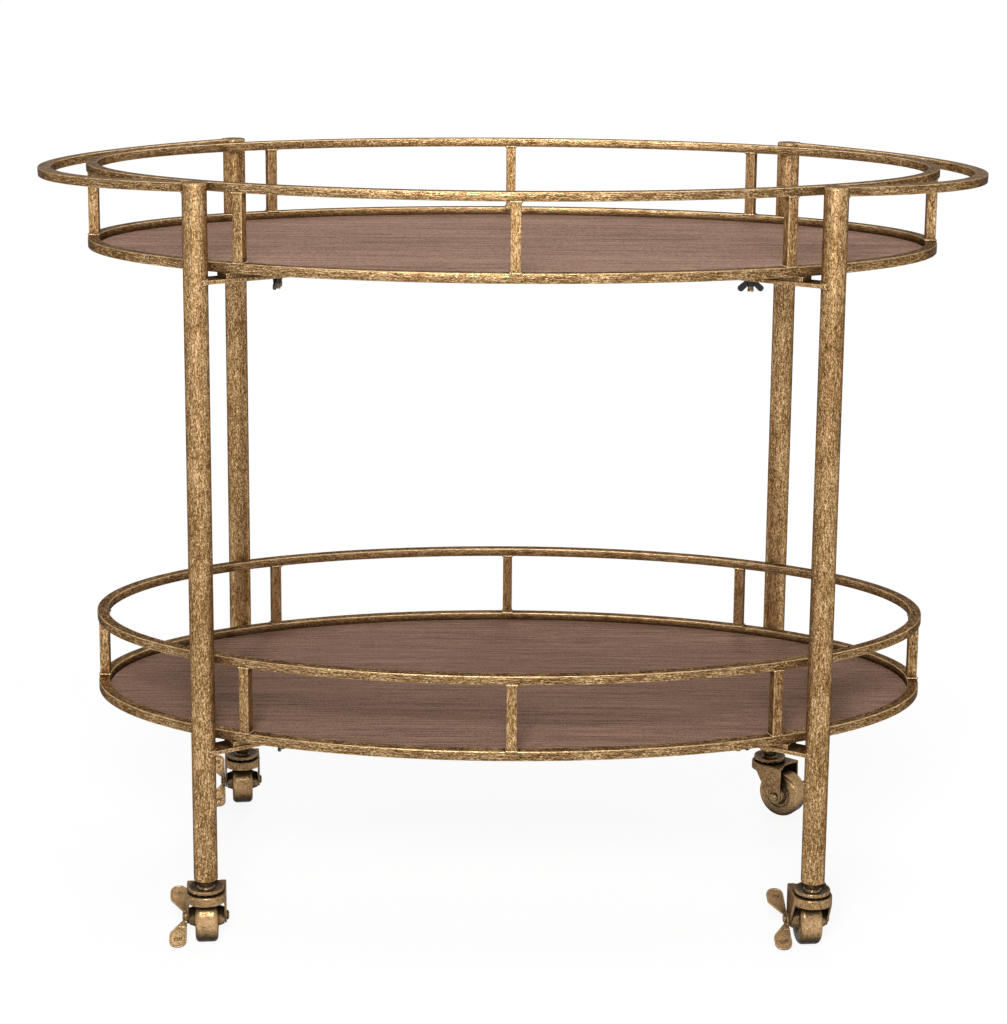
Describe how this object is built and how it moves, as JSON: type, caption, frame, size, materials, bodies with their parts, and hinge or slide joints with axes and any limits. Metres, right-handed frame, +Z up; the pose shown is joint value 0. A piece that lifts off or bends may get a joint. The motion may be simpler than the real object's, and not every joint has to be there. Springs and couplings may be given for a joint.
{
  "type": "bar cart",
  "caption": "Oval two-tier bar cart: round tube legs on braked swivel casters, two railed oval trays with wood-look shelves on cross braces, and a curved push handle at each end.",
  "frame": {"origin": "on the floor under the middle of the cart", "axes": "+X along the cart's length to the right as seen from the front, -Y to the front, +Z up"},
  "size_m": [1.0276, 0.4892, 0.8235],
  "materials": {
    "antique_gold": "antique gold paint, mottled and rubbed on the edges",
    "shelf_wood": "brown wood-grain finish, satin",
    "black_steel": "blackened, satin",
    "caster_bronze": "antique bronze plate, worn bright on edges",
    "bearing_steel": "plain steel"
  },
  "bodies": {
    "frame": {"leg_front_left": "antique_gold", "leg_front_right": "antique_gold", "leg_back_left": "antique_gold", "leg_back_right": "antique_gold", "leg_caps": "antique_gold", "leg_inserts": "bearing_steel", "handle_left": "antique_gold", "handle_right": "antique_gold", "upper_base_ring": "antique_gold", "upper_shelf_panel": "shelf_wood", "upper_gallery_rail": "antique_gold", "upper_balusters": "antique_gold", "upper_tray_lugs": "antique_gold", "upper_brace_bar": "antique_gold", "upper_brace_arms": "antique_gold", "upper_wing_nuts": "black_steel", "lower_base_ring": "antique_gold", "lower_shelf_panel": "shelf_wood", "lower_gallery_rail": "antique_gold", "lower_balusters": "antique_gold", "lower_tray_lugs": "antique_gold", "lower_brace_bar": "antique_gold", "lower_brace_arms": "antique_gold", "lower_wing_nuts": "black_steel", "front_left_caster_stem": "caster_bronze", "front_right_caster_stem": "caster_bronze", "back_left_caster_stem": "caster_bronze", "back_right_caster_stem": "caster_bronze"},
    "front_left_caster": {"front_left_fork": "caster_bronze", "front_left_axle": "caster_bronze", "front_left_bearing_balls": "bearing_steel"},
    "front_left_roller": {"front_left_wheel": "caster_bronze"},
    "front_left_brake": {"front_left_brake_lever": "caster_bronze"},
    "front_right_caster": {"front_right_fork": "caster_bronze", "front_right_axle": "caster_bronze", "front_right_bearing_balls": "bearing_steel"},
    "front_right_roller": {"front_right_wheel": "caster_bronze"},
    "front_right_brake": {"front_right_brake_lever": "caster_bronze"},
    "back_left_caster": {"back_left_fork": "caster_bronze", "back_left_axle": "caster_bronze", "back_left_bearing_balls": "bearing_steel"},
    "back_left_roller": {"back_left_wheel": "caster_bronze"},
    "back_left_brake": {"back_left_brake_lever": "caster_bronze"},
    "back_right_caster": {"back_right_fork": "caster_bronze", "back_right_axle": "caster_bronze", "back_right_bearing_balls": "bearing_steel"},
    "back_right_roller": {"back_right_wheel": "caster_bronze"},
    "back_right_brake": {"back_right_brake_lever": "caster_bronze"}
  },
  "joints": [
    {"name": "front_left_swivel", "type": "hinge", "parent": "frame", "child": "front_left_caster", "pos_m": [-0.323, -0.19709, 0.0646], "axis": [0, 0, 1], "continuous": true},
    {"name": "front_left_wheel_spin", "type": "hinge", "parent": "front_left_caster", "child": "front_left_roller", "pos_m": [-0.32474, -0.17716, 0.0275], "axis": [-0.9962, -0.0872, 0], "continuous": true},
    {"name": "front_left_brake_rock", "type": "hinge", "parent": "front_left_caster", "child": "front_left_brake", "pos_m": [-0.32474, -0.17716, 0.0275], "axis": [-0.9962, -0.0872, 0], "range_deg": [0, 64]},
    {"name": "front_right_swivel", "type": "hinge", "parent": "frame", "child": "front_right_caster", "pos_m": [0.323, -0.19709, 0.0646], "axis": [0, 0, 1], "continuous": true},
    {"name": "front_right_wheel_spin", "type": "hinge", "parent": "front_right_caster", "child": "front_right_roller", "pos_m": [0.32126, -0.17716, 0.0275], "axis": [-0.9962, -0.0872, 0], "continuous": true},
    {"name": "front_right_brake_rock", "type": "hinge", "parent": "front_right_caster", "child": "front_right_brake", "pos_m": [0.32126, -0.17716, 0.0275], "axis": [-0.9962, -0.0872, 0], "range_deg": [0, 64]},
    {"name": "back_left_swivel", "type": "hinge", "parent": "frame", "child": "back_left_caster", "pos_m": [-0.323, 0.19709, 0.0646], "axis": [0, 0, 1], "continuous": true},
    {"name": "back_left_wheel_spin", "type": "hinge", "parent": "back_left_caster", "child": "back_left_roller", "pos_m": [-0.32544, 0.21694, 0.0275], "axis": [-0.9925, -0.1219, 0], "continuous": true},
    {"name": "back_left_brake_rock", "type": "hinge", "parent": "back_left_caster", "child": "back_left_brake", "pos_m": [-0.32544, 0.21694, 0.0275], "axis": [-0.9925, -0.1219, 0], "range_deg": [0, 64]},
    {"name": "back_right_swivel", "type": "hinge", "parent": "frame", "child": "back_right_caster", "pos_m": [0.323, 0.19709, 0.0646], "axis": [0, 0, 1], "continuous": true},
    {"name": "back_right_wheel_spin", "type": "hinge", "parent": "back_right_caster", "child": "back_right_roller", "pos_m": [0.33876, 0.18477, 0.0275], "axis": [0.6157, 0.788, 0], "continuous": true},
    {"name": "back_right_brake_rock", "type": "hinge", "parent": "back_right_caster", "child": "back_right_brake", "pos_m": [0.33876, 0.18477, 0.0275], "axis": [0.6157, 0.788, 0], "range_deg": [0, 64]}
  ]
}
